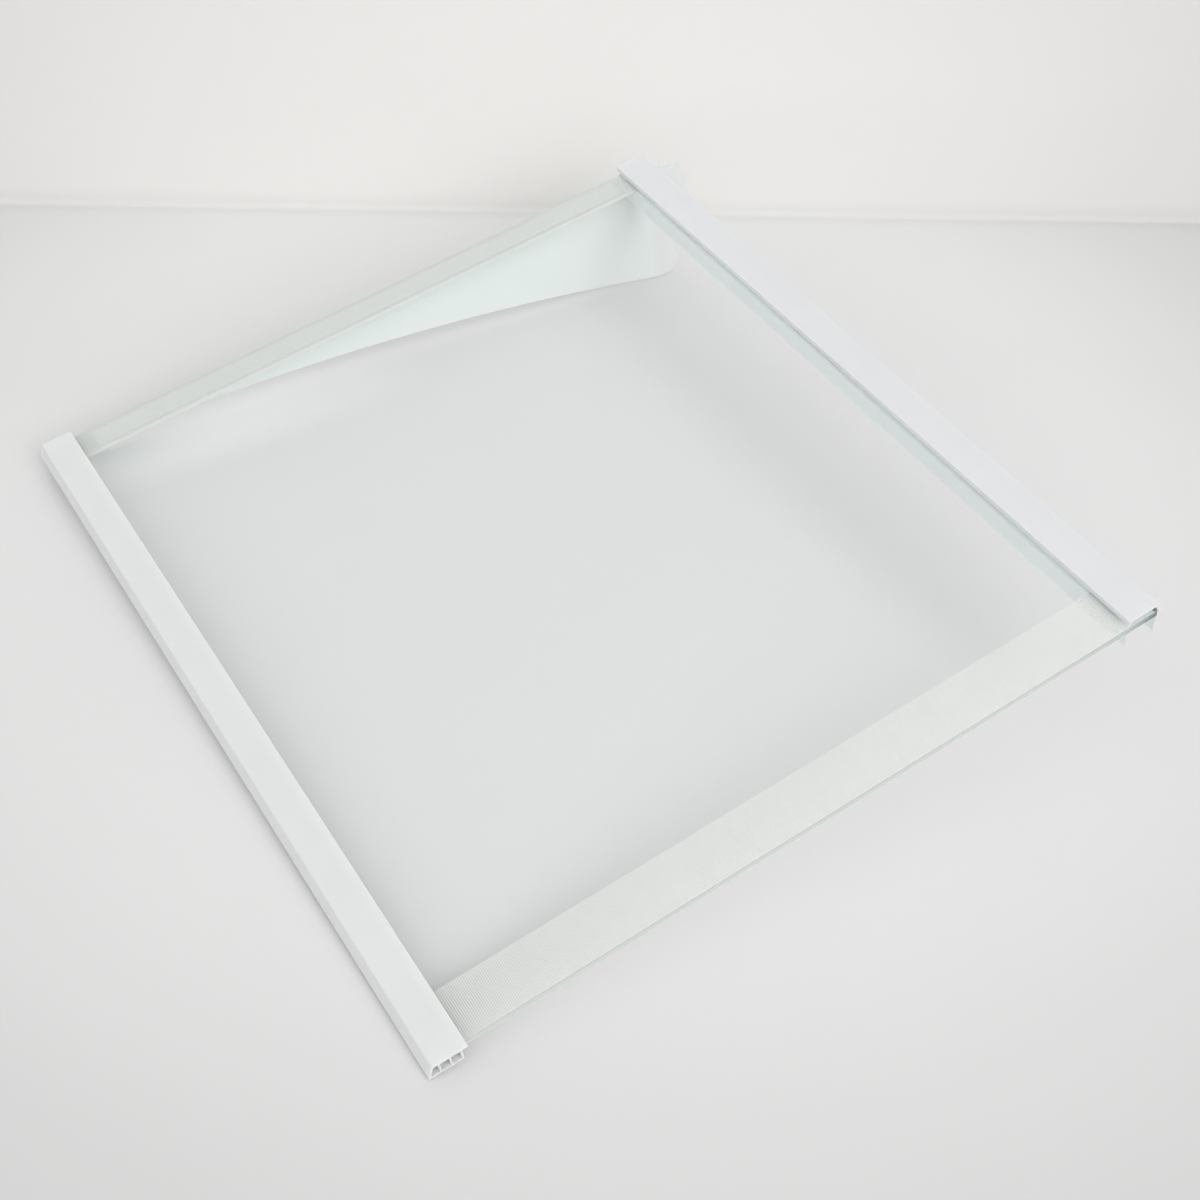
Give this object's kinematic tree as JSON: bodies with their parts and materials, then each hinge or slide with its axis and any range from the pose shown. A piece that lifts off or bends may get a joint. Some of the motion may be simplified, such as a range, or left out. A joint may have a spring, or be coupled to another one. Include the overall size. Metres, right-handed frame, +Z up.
{
  "type": "refrigerator shelf",
  "caption": "Tempered glass refrigerator shelf with hollow white front and rear trims and a tapered steel side bracket that hooks on a rail.",
  "frame": {"origin": "middle of the flat roof of the notch in the left bracket's hook, where the shelf bears on the cabinet's rail", "axes": "+X along the trims to the shelf's right, +Y to the shelf's back, +Z up, square to the glass"},
  "size_m": [0.4429, 0.4247, 0.0978],
  "materials": {
    "glass": "clear tempered soda-lime glass with a green ground edge",
    "front_trim": "satin cool white extruded plastic",
    "rear_trim": "satin cool white extruded plastic",
    "bracket": "smooth white powder coat",
    "bond": "cured clear adhesive"
  },
  "bodies": {
    "root": {"glass_plate": "glass", "front_trim": "front_trim", "rear_trim": "rear_trim", "left_bracket": "bracket", "bracket_bond": "bond"}
  },
  "joints": []
}
